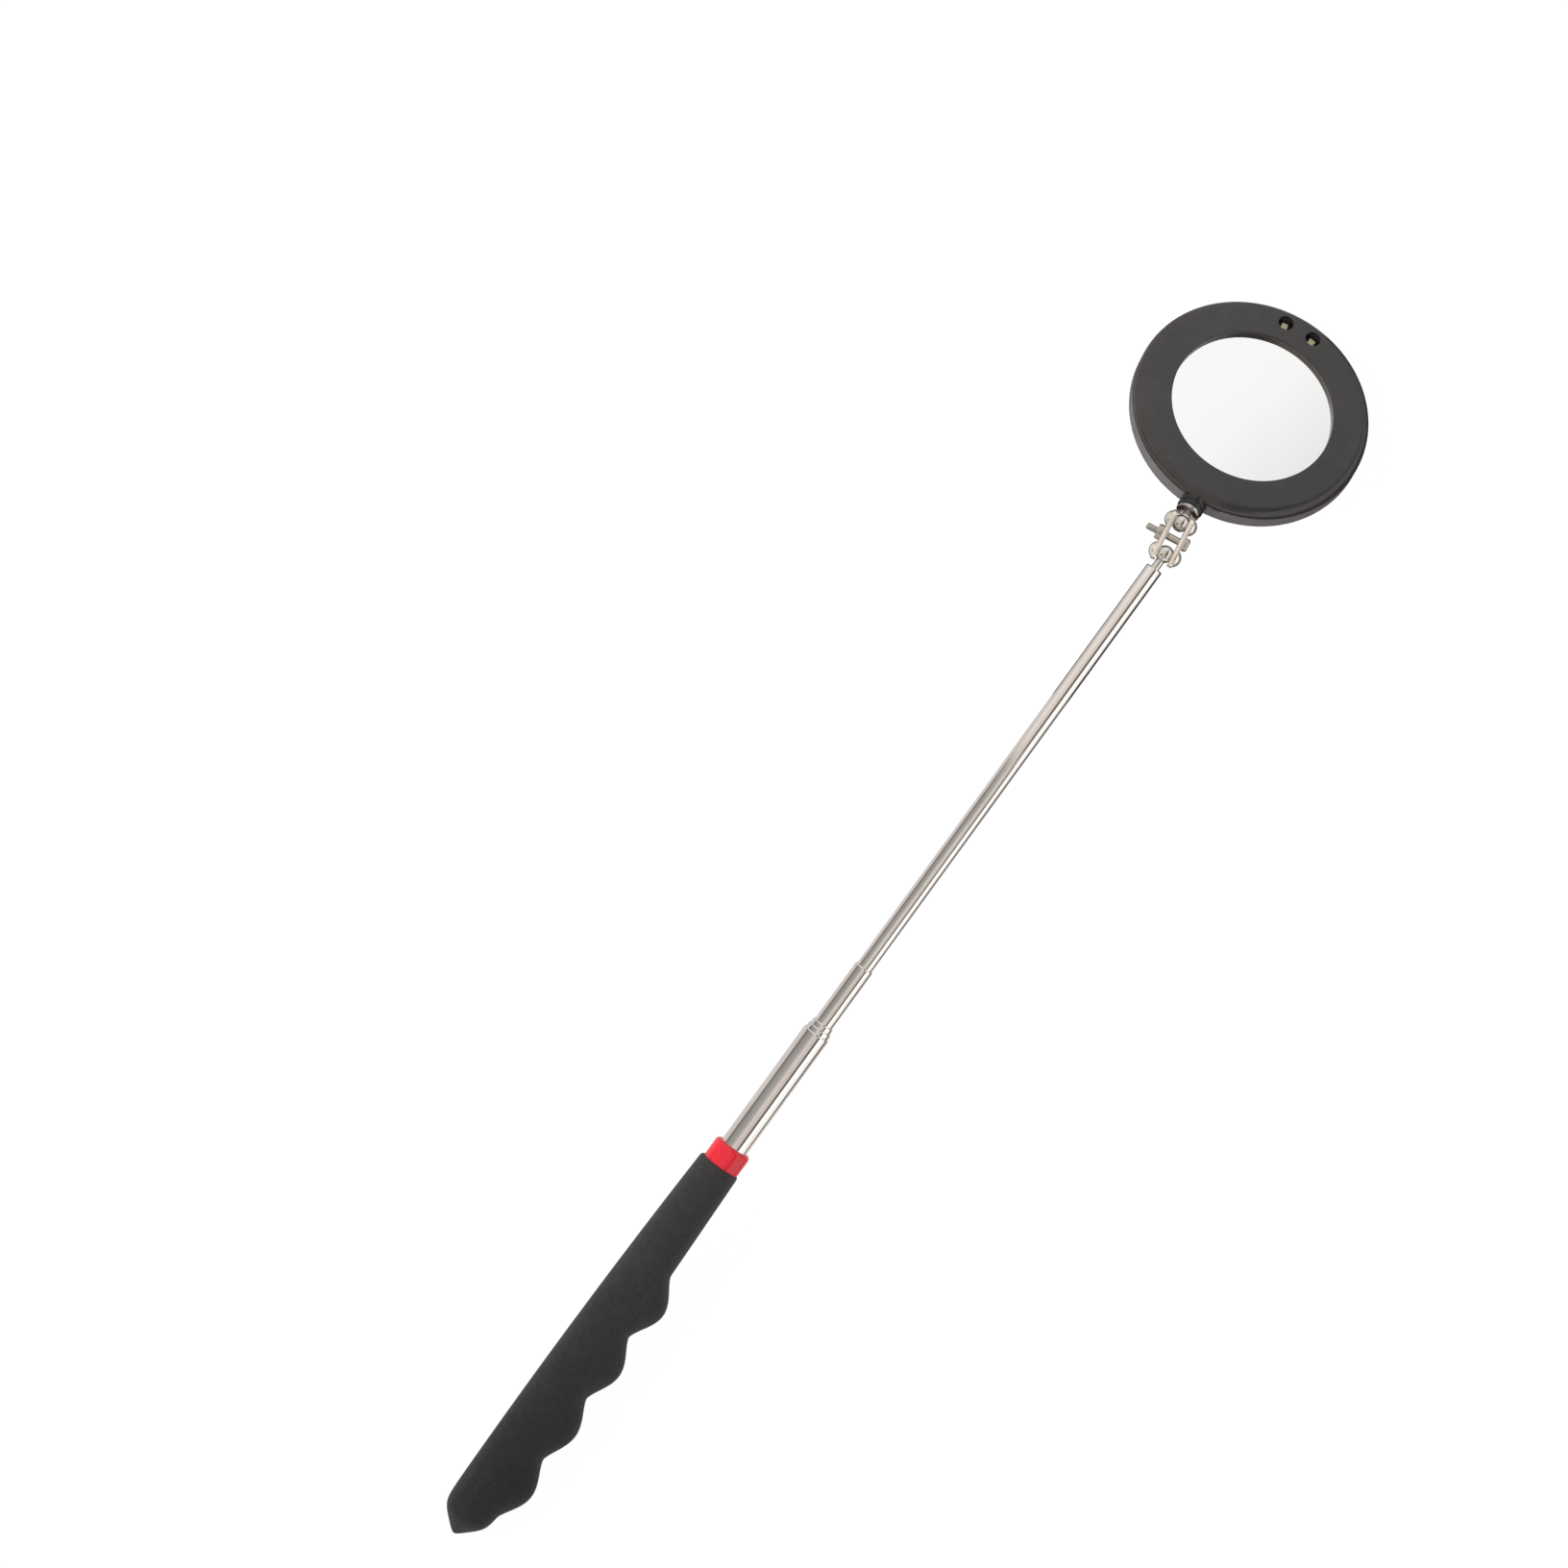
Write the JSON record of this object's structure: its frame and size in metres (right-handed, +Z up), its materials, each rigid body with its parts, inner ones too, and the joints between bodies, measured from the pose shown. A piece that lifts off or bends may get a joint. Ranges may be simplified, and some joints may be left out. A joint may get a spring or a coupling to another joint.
{
  "type": "telescoping inspection mirror",
  "caption": "Lighted round inspection mirror on a chromed telescoping rod, with a double ball swivel and a foam finger grip.",
  "frame": {"origin": "on the ground under the middle of the tool's box as it lies at rest", "axes": "+X along the rod from the grip to the head, +Z up out of the mirror's side, +Y to the back of the grip, away from the finger bumps"},
  "size_m": [0.5129, 0.0836, 0.0522],
  "materials": {
    "foam": "closed-cell foam, fine pores, matt",
    "tube_steel": "drawn steel",
    "dark_plastic": "moulded",
    "red_plastic": "glossy",
    "tube_chrome": "bright chrome plate",
    "spring_bronze": "spring bronze",
    "bright_steel": "polished",
    "plate_nickel": "nickel plated, satin",
    "screw_steel": "zinc plated",
    "black_plastic": "moulded, half gloss",
    "housing_plastic": "moulded, satin",
    "rear_plastic": "moulded, fine texture",
    "mirror": "silvered behind",
    "foam_tape": "foam tape",
    "board": "black circuit board",
    "led": "yellow phosphor in a white body",
    "cell_steel": "satin",
    "contact_brass": "bright",
    "red_wire": "sleeved",
    "black_wire": "sleeved",
    "cover_plastic": "moulded"
  },
  "bodies": {
    "handle": {"foam_grip": "foam", "handle_tube": "tube_steel", "end_plug": "dark_plastic", "grip_collar": "red_plastic"},
    "tube_1": {"tube_1": "tube_chrome", "friction_spring_1": "spring_bronze"},
    "tube_2": {"tube_2": "tube_chrome", "friction_spring_2": "spring_bronze"},
    "tube_3": {"tube_3": "tube_chrome", "friction_spring_3": "spring_bronze"},
    "tube_4": {"tube_4": "tube_chrome", "friction_spring_4": "spring_bronze"},
    "tube_5": {"tube_5": "tube_chrome", "friction_spring_5": "spring_bronze"},
    "lower_stud": {"lower_ball_stud": "bright_steel"},
    "clamp": {"clamp_plate_left": "plate_nickel", "clamp_plate_right": "plate_nickel", "clamp_screw": "screw_steel", "clamp_nut": "screw_steel"},
    "upper_stud": {"upper_ball_stud": "bright_steel"},
    "head": {"stem_socket": "black_plastic", "stem_ferrule": "bright_steel", "front_bezel": "housing_plastic", "rear_shell": "rear_plastic", "mirror_glass": "mirror", "mirror_backing": "foam_tape", "led_board": "board", "led_left": "led", "led_right": "led", "battery_holder": "dark_plastic", "coin_cell_inner": "cell_steel", "coin_cell_outer": "cell_steel", "contact_leaf": "contact_brass", "contact_clip": "contact_brass", "switch_body": "dark_plastic", "red_wire": "red_wire", "black_wire": "black_wire", "housing_screws": "screw_steel"},
    "battery_cover": {"battery_cover": "cover_plastic"},
    "switch_slider": {"switch_slider": "black_plastic"}
  },
  "joints": [
    {"name": "tube_1_slide", "type": "slide", "parent": "handle", "child": "tube_1", "axis": [0.9952, -0.0147, 0.0963], "range_m": [-0.0428, 0.0857]},
    {"name": "tube_2_slide", "type": "slide", "parent": "tube_1", "child": "tube_2", "axis": [0.9952, -0.0147, 0.0963], "range_m": [0, 0.1365]},
    {"name": "tube_3_slide", "type": "slide", "parent": "tube_2", "child": "tube_3", "axis": [0.9952, -0.0147, 0.0963], "range_m": [0, 0.1385]},
    {"name": "tube_4_slide", "type": "slide", "parent": "tube_3", "child": "tube_4", "axis": [0.9952, -0.0147, 0.0963], "range_m": [-0.022, 0.1185]},
    {"name": "tube_5_slide", "type": "slide", "parent": "tube_4", "child": "tube_5", "axis": [0.9952, -0.0147, 0.0963], "range_m": [-0.14, 0.0028]},
    {"name": "rod_spin", "type": "hinge", "parent": "tube_5", "child": "lower_stud", "pos_m": [0.16023, -0.00828, 0.04825], "axis": [0.9952, -0.0147, 0.0963], "continuous": true},
    {"name": "lower_fold", "type": "hinge", "parent": "lower_stud", "child": "clamp", "pos_m": [0.16023, -0.00828, 0.04825], "axis": [-0.1461, 0.9779, 0.1496], "range_deg": [-105.7, 70.3]},
    {"name": "upper_fold", "type": "hinge", "parent": "clamp", "child": "upper_stud", "pos_m": [0.17204, -0.00618, 0.046], "axis": [0.1461, -0.9779, -0.1496], "range_deg": [-72.6, 103.4]},
    {"name": "head_spin", "type": "hinge", "parent": "upper_stud", "child": "head", "pos_m": [0.17204, -0.00618, 0.046], "axis": [0.8871, 0.1199, -0.4456], "continuous": true},
    {"name": "battery_cover_turn", "type": "hinge", "parent": "head", "child": "battery_cover", "pos_m": [0.21772, 0, 0.02305], "axis": [0.454, -0.0531, 0.8894], "range_deg": [0, 45]},
    {"name": "switch_slide", "type": "slide", "parent": "head", "child": "switch_slider", "axis": [-0.083, 0.9914, 0.1015], "range_m": [0, 0.003]}
  ]
}
